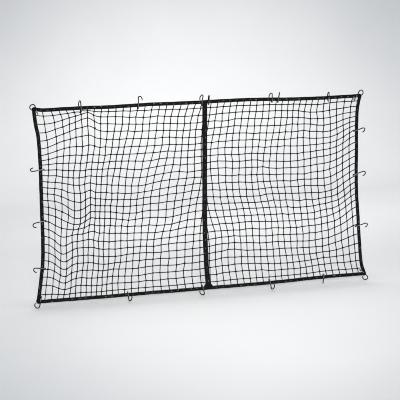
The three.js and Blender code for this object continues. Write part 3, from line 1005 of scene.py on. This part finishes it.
@dataclass
class TwineNet:
    """The knotted net: a strand of twine along every row and column, and a knot where two cross."""

    sheet: HungSheet
    columns_left: int = 26
    columns_right: int = 25
    rows: int = 27
    sides: int = 6
    steps: int = 4
    knot_half: float = 5.6
    knot_sides: int = 6
    knot_swell: tuple[float, ...] = (0.45, 0.92, 1.0, 0.92, 0.45)
    knot_fat: float = 0.82
    knot_bulge: float = 0.42
    knot_slant: float = 0.35
    knot_spread: float = 0.14
    knot_turn: float = 0.5
    part_clear: float = 7.2
    part_full: float = 8.0
    part_end: float = 22.0
    unevenness: float = 1.8
    sway: float = 5.0
    sway_cells: float = 1.4
    sway_window: int = 4
    sway_depth: float = 0.4
    seed: int = 41
    flat_width: float = 2591.0
    flat_height: float = 1372.0
    open_share: float = 0.3
    end_cell: float = 0.82

    @property
    def columns(self) -> int:
        """Counts the meshes from the left border to the right one."""
        return self.columns_left + self.columns_right

    def places(self, column: np.ndarray, row: np.ndarray) -> np.ndarray:
        """Gives places on the smooth net.

        Args:
            column: Meshes counted from the left border, with parts of a mesh.
            row: Meshes counted from the top border, with parts of a mesh.

        Returns:
            A row of X, Y and Z for each place.
        """
        even = self.end_cell + row - 1
        last = self.rows - 2 + 2 * self.end_cell
        down = np.clip(even, self.end_cell * row, last - self.end_cell * (self.rows - row)) / last
        left = column <= self.columns_left
        points = np.empty((len(column), 3))
        points[left] = self.sheet.panel(True, column[left] / self.columns_left, down[left])
        points[~left] = self.sheet.panel(
            False, (column[~left] - self.columns_left) / self.columns_right, down[~left],
        )
        return points

    def slack(self) -> np.ndarray:
        """Draws how far each knot sits off its even place, which is nothing along the webbing.

        Returns:
            An array of columns by rows by X, Y and Z.
        """
        rng = np.random.default_rng(self.seed)
        size = (self.columns + 1, self.rows + 1, 3)
        reach = np.arange(-self.sway_window, self.sway_window + 1)
        window = np.exp(-0.5 * (reach / self.sway_cells) ** 2)
        broad = rng.normal(0, 1, size)
        for axis in (0, 1):
            broad = np.apply_along_axis(np.convolve, axis, broad, window, mode="same")
        drift = rng.normal(0, self.unevenness, size) + broad * self.sway / np.std(broad)
        drift[:, :, 1] *= self.sway_depth
        column, row = np.arange(size[0])[:, None], np.arange(size[1])[None]
        for to_webbing in (column, self.columns - column, row, self.rows - row, column - self.columns_left):
            drift *= (1 - np.exp(-((to_webbing / self.sway_cells) ** 2)))[:, :, None]
        return drift

    def drifted(self, column: np.ndarray, row: np.ndarray, drift: np.ndarray) -> np.ndarray:
        """Gives places on the uneven net: the smooth net plus the knots' drift, shared out between them.

        Args:
            column: Meshes counted from the left border, with parts of a mesh.
            row: Meshes counted from the top border, with parts of a mesh.
            drift: How far each knot sits off its even place.

        Returns:
            A row of X, Y and Z for each place.
        """
        c0 = np.minimum(column.astype(int), self.columns - 1)
        r0 = np.minimum(row.astype(int), self.rows - 1)
        fc, fr = (column - c0)[:, None], (row - r0)[:, None]
        shared = (
            drift[c0, r0] * (1 - fc) * (1 - fr) + drift[c0 + 1, r0] * fc * (1 - fr)
            + drift[c0, r0 + 1] * (1 - fc) * fr + drift[c0 + 1, r0 + 1] * fc * fr
        )
        return self.places(column, row) + shared

    def knot_shape(self) -> bpy.types.Object:
        """Makes one knot: a turn of twine over the front and one across the back, drawn tight.

        Returns:
            The shape, which is not shown itself.
        """
        swell = np.array(self.knot_swell)
        reach = np.linspace(-1, 1, len(swell)) * self.knot_half
        bulge = (1 - (reach / self.knot_half) ** 2) * self.sheet.twine * self.knot_bulge
        over = np.stack([reach, -bulge, reach * self.knot_slant], axis=1)
        under = np.stack([-reach * self.knot_slant, bulge, reach], axis=1)
        widths = swell * self.sheet.twine * self.knot_fat
        return thread_shape("knot_shape", [over, under], [widths, widths], self.knot_sides)

    def parted(self, points: np.ndarray, axis: int, wires: np.ndarray) -> np.ndarray:
        """Moves strands aside where a hook's wire goes through the net.

        Args:
            points: Places on strands that run the same way.
            axis: The way that they give way: 0 for columns, which move along X, or 2 for rows, along Z.
            wires: A row of X, Y and Z for each place where a wire goes through.

        Returns:
            The moved places.
        """
        moved = points.copy()
        for wire in wires:
            beside = points[:, axis] - wire[axis]
            ahead = np.abs(points[:, 2 - axis] - wire[2 - axis])
            near = 1 - smoothstep(ahead, self.part_full, self.part_end)
            short = np.clip(self.part_clear - np.abs(beside), 0, None)
            moved[:, axis] += np.where(beside < 0, -short, short) * near
        return moved

    def pressed(self, points: np.ndarray) -> np.ndarray:
        """Tells how far each knot is pressed to the back by a strip of webbing in front of it."""
        front = self.sheet.twine * (self.knot_bulge + self.knot_fat) * (1 + self.knot_spread)
        return np.where(self.sheet.under_webbing(points, self.knot_half), front - self.sheet.twine / 2, 0)

    def build(
        self, sweep: NodeRig, scatter: NodeRig, wires: np.ndarray,
    ) -> tuple[bpy.types.Object, bpy.types.Object]:
        """Makes the strands and the knots.

        Args:
            sweep: The tree that draws strands.
            scatter: The tree that sets out knots.
            wires: Where the hooks' wires go through the net.

        Returns:
            The strands and the knots.
        """
        drift = self.slack()
        along = np.arange(self.columns * self.steps + 1) / self.steps
        down = np.arange(self.rows * self.steps + 1) / self.steps
        lines = [
            self.parted(self.drifted(along, np.full(len(along), float(r)), drift), 2, wires)
            for r in range(self.rows + 1)
        ]
        lines += [
            self.parted(self.drifted(np.full(len(down), float(c)), down, drift), 0, wires)
            for c in range(self.columns + 1)
        ]
        strands = sweep.run("net_twine", line_mesh("net_lines", lines), {
            "Diameter": self.sheet.twine * MM, "Sides": self.sides, "Finish": TwineFinish().material(),
        })
        column, row = (grid.ravel().astype(float) for grid in np.meshgrid(
            np.arange(self.columns + 1), np.arange(self.rows + 1), indexing="ij",
        ))
        spots = self.parted(self.parted(self.drifted(column, row, drift), 0, wires), 2, wires)
        spots[:, 1] += self.pressed(spots)
        ahead = self.places(np.minimum(column + 0.5, self.columns), row)
        behind = self.places(np.maximum(column - 0.5, 0), row)
        knots = set_out(scatter, "net_knots", self.knot_shape(), spots, ahead - behind, {
            "Size Spread": self.knot_spread, "Turn Spread": self.knot_turn, "Seed": self.seed,
            "Finish": KNOTTED_TWINE.material(),
        })
        return strands, knots

    def dress(self, strands: bpy.types.Object, knots: bpy.types.Object) -> None:
        """Ties the strands and knots to the frame.

        Args:
            strands: The strands.
            knots: The knots.
        """
        declare(strands, ["net"])
        declare(knots)


@dataclass
class WebbingStrip:
    """A strip of flat webbing in front of the net, with its stitch rows and its tacks."""

    sheet: HungSheet
    edge: Edge
    node: str
    layers: int
    tacks: int
    width: float = WEBBING_WIDTH
    lap: float = HALF_WEBBING
    spread: float = 0.0
    corner_cut: float = 9.0
    foot_height: float = 28.0
    station: float = 8.0
    waver: float = 0.7
    waver_lengths: tuple[float, float] = (61.0, 23.0)
    stitch_inset: float = 3.6
    stitch_pitch: float = 6.4
    tack_drift: float = 0.06
    tack_across: float = 0.45
    tack_proud: float = 0.25
    way_step: float = 1.0

    @property
    def length(self) -> float:
        """Gives the straight length between the ends of the edge's middle line."""
        start, end = self.sheet.straight(self.edge)
        return float(np.linalg.norm(end - start))

    def section(self) -> np.ndarray:
        """Draws the strip's cross-section: flat faces, closed round edges and a thin web between.

        Returns:
            Rows of the share across, from -1 to 1, and the share of half the thickness, to the front.
        """
        front = [(-1.0, 0.0), (-0.975, 0.7), (-0.9, 1.0), (-0.78, 0.9), (-0.4, 0.95), (0.0, 1.0)]
        front += [(-across, rise) for across, rise in reversed(front[:-1])]
        back = [(across, -rise) for across, rise in reversed(front[1:-1])]
        return np.array(front + back)

    def surface(self, past: np.ndarray, across: np.ndarray, rise: np.ndarray) -> np.ndarray:
        """Gives places on the strip.

        Args:
            past: Distance along the strip from the start of its edge.
            across: Share of half the width, from -1 to 1.
            rise: Distance in front of the middle of the strip's thickness.

        Returns:
            A row of X, Y and Z for each place.
        """
        half, thick, gap = self.width / 2, self.sheet.webbing, self.sheet.layer_gap
        at = np.clip(past / self.length, 0, 1)
        way = self.sheet.direction(self.edge, at)
        sideways = np.stack([way[:, 1], -way[:, 0]], axis=1)
        run = past - at * self.length
        to_end = np.minimum(past, self.length - past)
        lapped = 1 - smoothstep(to_end, HALF_WEBBING, HALF_WEBBING + self.foot_height)
        lift = (self.layers - 1) * (thick + gap) * lapped
        footed = np.where(past > self.length / 2, self.spread * lapped, 0)
        cut = np.clip(self.corner_cut - self.lap - to_end, 0, self.corner_cut)
        outer = OUTER_SIDES[self.edge]
        trim = np.where(np.sign(across) == outer, cut, 0) if outer else 0
        long, short = self.waver_lengths
        wave = self.waver * np.sin(past / long + self.tacks) * np.sin(past / short)
        offset = across * (half + footed - trim) + wave * (1 - lapped)
        place = self.sheet.edge_line(self.edge, at) + way * run[:, None] + sideways * offset[:, None]
        back = self.sheet.depth(place[:, 0], place[:, 1]) - self.sheet.twine / 2 - gap - lift
        return np.stack([place[:, 0], back - thick / 2 - rise, place[:, 1]], axis=1)

    def strip_mesh(self) -> bpy.types.Mesh:
        """Makes the strip's closed mesh, with a map of metres along and across it.

        Returns:
            The mesh.
        """
        section = self.section()
        ends = np.array([-self.lap, self.corner_cut - self.lap])
        inner = np.arange(ends[1] + self.station, self.length - ends[1] - self.station / 2, self.station)
        past = np.concatenate([ends, inner, self.length - ends[::-1]])
        around = len(section)
        runs = np.repeat(past, around)
        shares = np.tile(section, (len(past), 1))
        points = self.surface(runs, shares[:, 0], shares[:, 1] * self.sheet.webbing / 2)
        mesh = mesh_from(self.node, points, faces=tube_faces(0, len(past), around))
        layer = mesh.uv_layers.new(name="strip")
        corners = np.empty(len(mesh.loops), dtype=np.int32)
        mesh.loops.foreach_get("vertex_index", corners)
        flat = np.stack([runs * MM, shares[:, 0] * self.width / 2 * MM], axis=1)
        layer.data.foreach_set("uv", flat[corners].astype(np.float32).ravel())
        return mesh

    def rows_on(self, past: np.ndarray, across: float, proud: float) -> tuple[np.ndarray, np.ndarray]:
        """Gives places on the strip's front for stitches, with the way along there.

        Args:
            past: Distances along the strip.
            across: Share of half the width.
            proud: Distance in front of the strip's face.

        Returns:
            The places, and the ways along.
        """
        shares = np.full(len(past), across)
        rise = np.full(len(past), self.sheet.webbing / 2 + proud)
        behind, spots, ahead = (
            self.surface(past + step, shares, rise) for step in (-self.way_step, 0.0, self.way_step)
        )
        return spots, ahead - behind

    def stitch_spots(self) -> tuple[np.ndarray, np.ndarray]:
        """Sets out the two long rows of stitches, a little in from the edges.

        Returns:
            The places, and the ways along.
        """
        past = np.arange(self.corner_cut, self.length - self.corner_cut, self.stitch_pitch)
        inset = 1 - self.stitch_inset / (self.width / 2)
        return joined([self.rows_on(past, side * inset, 0.0) for side in (-1, 1)])

    def tack_spots(self, rng: np.random.Generator) -> tuple[np.ndarray, np.ndarray]:
        """Sets out a tack where each strand of the net meets the strip.

        Args:
            rng: The seeded source of unevenness.

        Returns:
            The places, and the ways along.
        """
        share = (np.arange(1, self.tacks) + rng.normal(0, self.tack_drift, self.tacks - 1)) / self.tacks
        return joined([
            self.rows_on(np.array([past]), rng.uniform(-self.tack_across, self.tack_across), self.tack_proud)
            for past in share * self.length
        ])

    def build(self, finish: bpy.types.Material) -> bpy.types.Object:
        """Makes the strip with its finish.

        Args:
            finish: The webbing's material.

        Returns:
            The strip.
        """
        strip = add_object(f"webbing_{self.edge.value}", self.strip_mesh())
        strip.data.materials.append(finish)
        return strip

    def dress(self, strip: bpy.types.Object) -> None:
        """Ties the strip to the frame.

        Args:
            strip: The strip.
        """
        declare(strip, [self.node])
        (self.length + 2 * self.lap) * MM


@dataclass
class Sewing:
    """The thread on all the webbing: long rows of black stitches, and light tacks at the net's strands."""

    strips: Sequence[WebbingStrip]
    thread_sides: int = 4
    stitch_length: float = 4.6
    stitch_half: float = 0.55
    stitch_dip: tuple[float, ...] = (0.5, -0.15, -0.15, 0.5)
    tack_length: float = 10.0
    tack_width: float = 5.0
    tack_strokes: int = 8
    tack_half: float = 0.6
    stitch_spread: float = 0.06
    tack_spread: float = 0.45
    turn_spread: float = 0.08
    seed: int = 17

    def stitch_shape(self) -> bpy.types.Object:
        """Makes one stitch: a short thread that dips into the webbing at both ends.

        Returns:
            The shape, which is not shown itself.
        """
        count = len(self.stitch_dip)
        reach = np.linspace(-0.5, 0.5, count) * self.stitch_length
        dip = np.array(self.stitch_dip) * self.stitch_half * 2
        line = np.stack([reach, dip, np.zeros(count)], axis=1)
        return thread_shape("stitch_shape", [line], [np.full(count, self.stitch_half)], self.thread_sides)

    def tack_shape(self) -> bpy.types.Object:
        """Makes one tack: a thread that goes to and fro across a short bar.

        Returns:
            The shape, which is not shown itself.
        """
        count = self.tack_strokes + 1
        reach = np.linspace(-0.5, 0.5, count) * self.tack_length
        swing = np.where(np.arange(count) % 2 == 0, -0.5, 0.5) * self.tack_width
        line = np.stack([reach, np.zeros(count), swing], axis=1)
        return thread_shape("tack_shape", [line], [np.full(count, self.tack_half)], self.thread_sides)

    def build(self, scatter: NodeRig) -> list[bpy.types.Object]:
        """Makes the stitch rows and the tacks.

        Args:
            scatter: The tree that sets out small shapes.

        Returns:
            The stitches and the tacks.
        """
        rng = np.random.default_rng(self.seed)
        jobs = (
            ("webbing_stitches", self.stitch_shape(), [strip.stitch_spots() for strip in self.strips],
             BLACK_THREAD, self.stitch_spread),
            ("webbing_tacks", self.tack_shape(), [strip.tack_spots(rng) for strip in self.strips],
             GREY_THREAD, self.tack_spread),
        )
        pieces = []
        for name, shape, rows, thread, spread in jobs:
            pieces.append(set_out(scatter, name, shape, *joined(rows), {
                "Size Spread": spread, "Turn Spread": self.turn_spread, "Seed": self.seed,
                "Finish": thread.material(),
            }))
        return pieces

    def dress(self, pieces: Sequence[bpy.types.Object]) -> None:
        """Ties the stitches and tacks to the frame."""
        for piece in pieces:
            declare(piece)


@dataclass(frozen=True)
class HookPlace:
    """Where a hook hangs, as the solids have it.

    The span runs from the webbing's inner edge to the hook's outer end, and the slide is how far the inner
    bend lies in from the webbing. The outer bend's turn about the shank, the shank's lean along the edge and
    the arc that the outer bend is closed to are in degrees.
    """

    name: str
    seat: Edge | Corner
    span: float
    slide: float
    turn: float
    lean: float
    close: float
    curl: Curl
    at: float = 0.0


# Name, seat, span, slide, turn, lean, close and curl, and the share of the edge's length
HOOKS = (
    HookPlace("corner_top_left", Corner.TOP_LEFT, 69, 8, 6, 26, 235, Curl.LEFT),
    HookPlace("corner_top_right", Edge.TOP, 71, 12, 55, 24, 245, Curl.RIGHT, at=0.9864),
    HookPlace("corner_bottom_right", Corner.BOTTOM_RIGHT, 59, 8, 12, 5, 250, Curl.LEFT),
    HookPlace("corner_bottom_left", Corner.BOTTOM_LEFT, 71, 5, 12, -26, 215, Curl.LEFT),
    HookPlace("top_1", Edge.TOP, 76, 3, 57, -6, 230, Curl.LEFT, at=0.1375),
    HookPlace("top_2", Edge.TOP, 83, 2, 54, 0, 195, Curl.RIGHT, at=0.306),
    HookPlace("top_3", Edge.TOP, 75, 2, 42, 3, 235, Curl.LEFT, at=0.4985),
    HookPlace("top_4", Edge.TOP, 72, 2, 64, -4, 190, Curl.LEFT, at=0.52),
    HookPlace("top_5", Edge.TOP, 71, 3, 32, -13, 225, Curl.LEFT, at=0.7178),
    HookPlace("top_6", Edge.TOP, 74, 2, 68, -3, 205, Curl.LEFT, at=0.737),
    HookPlace("top_7", Edge.TOP, 66, 8, 48, -10, 225, Curl.LEFT, at=0.8985),
    HookPlace("bottom_1", Edge.BOTTOM, 57, 3, 62, 4, 220, Curl.RIGHT, at=0.2613),
    HookPlace("bottom_2", Edge.BOTTOM, 53, 5, 20, 0, 215, Curl.LEFT, at=0.4875),
    HookPlace("bottom_3", Edge.BOTTOM, 61, 3, 66, 7, 225, Curl.RIGHT, at=0.6972),
    HookPlace("bottom_4", Edge.BOTTOM, 66, 2, 62, 28, 205, Curl.LEFT, at=0.8685),
    HookPlace("left_1", Edge.LEFT, 87, 2, 46, -8, 185, Curl.UP, at=0.3115),
    HookPlace("left_2", Edge.LEFT, 88, 2, 44, -10, 185, Curl.DOWN, at=0.578),
    HookPlace("left_3", Edge.LEFT, 83, 2, 46, 3, 180, Curl.DOWN, at=0.8255),
    HookPlace("right_1", Edge.RIGHT, 67, 2, 56, -27, 185, Curl.DOWN, at=0.1935),
    HookPlace("right_2", Edge.RIGHT, 77, 2, 54, -27, 200, Curl.DOWN, at=0.4375),
    HookPlace("right_3", Edge.RIGHT, 76, 2, 62, -22, 190, Curl.DOWN, at=0.7265),
)


@dataclass
class WireHook:
    """An open S-hook of round wire: a tight bend round the webbing, a straight shank and a wide bend."""

    sheet: HungSheet
    place: HookPlace
    wire: float = 6.6
    sides: int = 12
    steps: int = 84
    inner_bend: float = 13.0
    bend: float = 19.0
    inner_turn: float = math.radians(180)
    shank: float = 66.0
    gap: float = 0.9
    corner_slack: float = 10.0
    end_round: float = 1.6
    end_steps: tuple[float, ...] = (0.0, 0.3, 0.7, 1.0)
    end_fall: float = 0.75

    def seat(self) -> tuple[np.ndarray, np.ndarray, int]:
        """Finds where the shank crosses the webbing's inner edge.

        Returns:
            That place, the way out from there, and the layers of webbing there.
        """
        if isinstance(self.place.seat, Corner):
            x, z = CORNERS[self.place.seat]
            out = np.array([self.place.seat.value[0], 0, self.place.seat.value[1]], dtype=float)
            inside = np.array([x, 0, z]) - out * (HALF_WEBBING + self.corner_slack)
            return inside, out / np.linalg.norm(out), 2
        at = np.array([self.place.at])
        x, z = self.sheet.edge_line(self.place.seat, at)[0]
        along_x, along_z = self.sheet.direction(self.place.seat, at)[0]
        out = np.array([along_z, 0, -along_x]) * OUTER_SIDES[self.place.seat]
        return np.array([x, 0, z]) - out * HALF_WEBBING, out, 1

    def line(self) -> tuple[np.ndarray, np.ndarray]:
        """Draws the wire's middle line from the inner bend's tip to the outer bend's.

        Returns:
            The points, and the wire's share of its full width at each: its cut ends are rounded.
        """
        inside, out, layers = self.seat()
        lean = Matrix.Rotation(math.radians(self.place.lean), 3, "Y")
        out = np.array(lean @ Vector(out))
        back = np.array(TO_BACK)
        reach = (self.place.span + self.place.slide) / (self.shank + self.bend + self.wire / 2)
        tip = math.acos(min(1.0, reach))
        turn = math.radians(self.place.turn)
        side = np.cross(out, back)
        side *= np.sign(side @ np.array(self.place.curl.value))
        away = math.cos(tip) * out - math.sin(tip) * back
        inward = math.cos(tip) * back + math.sin(tip) * out
        curl = math.cos(turn) * side - math.sin(turn) * inward
        stack = self.sheet.twine / 2 + layers * (self.sheet.layer_gap + self.sheet.webbing)
        start = inside + back * (self.sheet.depth(inside[0], inside[2]) - stack)
        start = start - inward * (self.gap + self.wire / 2) - away * self.place.slide
        inner = self.inner_bend * self.inner_turn
        total = inner + self.shank + self.bend * math.radians(self.place.close)
        ends = np.array(self.end_steps) * self.end_round
        run = np.concatenate([ends, np.linspace(0, total, self.steps)[1:-1], total - ends[::-1]])
        to_end = np.minimum(run, total - run)
        taper = np.sqrt(1 - self.end_fall * (1 - np.clip(to_end / self.end_round, 0, 1)) ** 2)
        run = run - inner
        radius = np.where(run < 0, self.inner_bend, self.bend)
        past = np.where(run < 0, -run, np.maximum(0, run - self.shank)) / radius
        forward = np.clip(run, 0, self.shank) + np.where(run < 0, -radius, radius) * np.sin(past)
        sweep = np.where((run < 0)[:, None], inward, curl)
        points = start + forward[:, None] * away + (radius * (1 - np.cos(past)))[:, None] * sweep
        return points, taper

    def through(self) -> np.ndarray:
        """Finds where the inner bend goes through the net.

        Returns:
            X, Y and Z of that place.
        """
        points, _ = self.line()
        behind = points[:, 1] > self.sheet.depth(points[:, 0], points[:, 2])
        return points[np.argmin(behind)]

    def build(self, sweep: NodeRig, finish: bpy.types.Material) -> bpy.types.Object:
        """Makes the hook.

        Args:
            sweep: The tree that draws round strands.
            finish: The wire's material.

        Returns:
            The hook.
        """
        points, taper = self.line()
        name = f"wire_hook_{self.place.name}"
        return sweep.run(name, line_mesh(f"{name}_line", [points], taper), {
            "Diameter": self.wire * MM, "Sides": self.sides, "Finish": finish,
        })

    def dress(self, hook: bpy.types.Object) -> None:
        """Ties the hook to the frame in place of its solid."""
        declare(hook, [f"hook_{self.place.name}"])


@dataclass(frozen=True)
class StudioLamp:
    """A large soft spot lamp: its place, aim and radius are in millimetres, and its cone is in degrees."""

    name: str
    place: tuple[float, float, float]
    aim: tuple[float, float, float]
    watts: float
    cone: float
    radius: float
    colour: str = "#fffbf5"
    rim: float = 1.0

    def build(self) -> None:
        """Hangs the lamp in the scene."""
        lamp = bpy.data.lights.new(self.name, "SPOT")
        lamp.energy = self.watts
        lamp.color = linear(self.colour)[:3]
        lamp.spot_size = math.radians(self.cone)
        lamp.spot_blend = self.rim
        lamp.shadow_soft_size = self.radius * MM
        holder = bpy.data.objects.new(self.name, lamp)
        holder.location = Vector(self.place) * MM
        way = Vector(self.aim) * MM - holder.location
        holder.rotation_euler = way.to_track_quat("-Z", "Y").to_euler()
        bpy.context.scene.collection.objects.link(holder)


@dataclass
class Studio:
    """A pale floor that sweeps up into a backdrop, soft light, and the camera."""

    floor_z: float = -1424.0
    front: float = -30000.0
    wall: float = 8600.0
    curve: float = 3000.0
    curve_points: int = 25
    top: float = 9000.0
    half_width: float = 30000.0
    camera_azimuth: float = -12.940
    camera_pitch: float = 7.0
    camera_roll: float = -1.879
    camera_target: tuple[float, float, float] = (-32.95, 0.0, -715.9)
    camera_distance: float = 8029.0
    focal_pixels: float = 1100.0
    sensor_mm: float = 36.0
    view_end_m: float = 100.0
    sky: str = "#f8fcff"
    sky_strength: float = 0.72
    tone_gamma: float = 0.75
    film_filter: float = 1.05
    lamps: tuple[StudioLamp, ...] = (
        StudioLamp("pool_light", (-1700, -9000, 1200), (260, 0, -460), 3150, 32, 600),
        StudioLamp("canopy_light", (-350, 100, 5200), (-350, 600, -1424), 350, 72, 1600),
        StudioLamp("backdrop_light", (1250, 2500, 5200), (1600, 5900, -1424), 570, 82, 900),
    )

    def board(self) -> bpy.types.Object:
        """Makes the floor and backdrop as one curved board.

        Returns:
            The board.
        """
        turns = np.linspace(0, math.pi / 2, self.curve_points)
        foot = self.wall - self.curve
        profile = [(self.front, self.floor_z)]
        profile += [
            (foot + self.curve * math.sin(a), self.floor_z + self.curve * (1 - math.cos(a))) for a in turns
        ]
        profile.append((self.wall, self.top))
        points = [(side * self.half_width, y, z) for y, z in profile for side in (-1, 1)]
        faces = [[2 * k, 2 * k + 1, 2 * k + 3, 2 * k + 2] for k in range(len(profile) - 1)]
        board = add_object("studio_board", mesh_from("studio_board", np.array(points), faces=faces))
        board.data.materials.append(PAINTED_BOARD.material())
        return board

    def light(self) -> None:
        """Sets the even sky and the soft lamps, whose light fades towards the frame's edges."""
        world = bpy.data.worlds.new("studio_sky")
        world.use_nodes = True
        tree = world.node_tree
        tree.nodes.clear()
        even = {"Color": linear(self.sky), "Strength": self.sky_strength}
        sky = add_node(tree, "ShaderNodeBackground", even)
        add_node(tree, "ShaderNodeOutputWorld", {"Surface": sky})
        bpy.context.scene.world = world
        for lamp in self.lamps:
            lamp.build()

    def camera(self) -> None:
        """Sets the camera at the photograph's angle, with no shift."""
        a, e, r = (math.radians(v) for v in (self.camera_azimuth, self.camera_pitch, self.camera_roll))
        back = Vector((math.sin(a) * math.cos(e), -math.cos(a) * math.cos(e), math.sin(e)))
        right = Vector((math.cos(a), math.sin(a), 0))
        up = back.cross(right)
        across = math.cos(r) * right + math.sin(r) * up
        upright = -math.sin(r) * right + math.cos(r) * up
        lens = bpy.data.cameras.new("camera")
        lens.sensor_width = self.sensor_mm
        lens.lens = self.focal_pixels / FRAME_PIXELS * self.sensor_mm
        lens.clip_end = self.view_end_m
        camera = bpy.data.objects.new("camera", lens)
        turn = Matrix((across, upright, back)).transposed().to_4x4()
        place = Vector(self.camera_target) * MM + back * (self.camera_distance * MM)
        camera.matrix_world = Matrix.Translation(place) @ turn
        bpy.context.scene.collection.objects.link(camera)
        bpy.context.scene.camera = camera

    def build(self) -> None:
        """Makes the board, the light and the camera."""
        view = bpy.context.scene.view_settings
        view.view_transform = "Standard"
        view.gamma = self.tone_gamma
        bpy.context.scene.cycles.filter_width = self.film_filter
        self.board()
        self.light()
        self.camera()


def webbing_strips(sheet: HungSheet) -> list[WebbingStrip]:
    """Lists the five strips, of which the sides and the strap lap over the top and bottom ones.

    Args:
        sheet: The hanging shape.

    Returns:
        The strips.
    """
    return [
        WebbingStrip(sheet, Edge.TOP, "border_top", layers=1, tacks=51),
        WebbingStrip(sheet, Edge.BOTTOM, "border_bottom", layers=1, tacks=51),
        WebbingStrip(sheet, Edge.LEFT, "border_left", layers=2, tacks=27),
        WebbingStrip(sheet, Edge.RIGHT, "border_right", layers=2, tacks=27),
        WebbingStrip(sheet, Edge.STRAP, "centre_strap", layers=2, tacks=27, width=sheet.strap_width,
                     lap=10.0, spread=15.0),
    ]


def main() -> None:
    """Builds the net, the webbing, the sewing, the hooks and the studio in order."""
    logging.basicConfig(level=logging.INFO, format="%(name)s: %(message)s")
    sheet = HungSheet()
    sweep, scatter = sweep_rig(), scatter_rig()
    hooks = [WireHook(sheet, place) for place in HOOKS]
    net = TwineNet(sheet)
    net.dress(*net.build(sweep, scatter, np.array([hook.through() for hook in hooks])))
    strips = webbing_strips(sheet)
    webbing = WebbingFinish().material()
    for strip in strips:
        strip.dress(strip.build(webbing))
    sewing = Sewing(strips)
    sewing.dress(sewing.build(scatter))
    zinc = ZincFinish().material()
    for hook in hooks:
        hook.dress(hook.build(sweep, zinc))
    Studio().build()


if __name__ == "__main__":
    main()
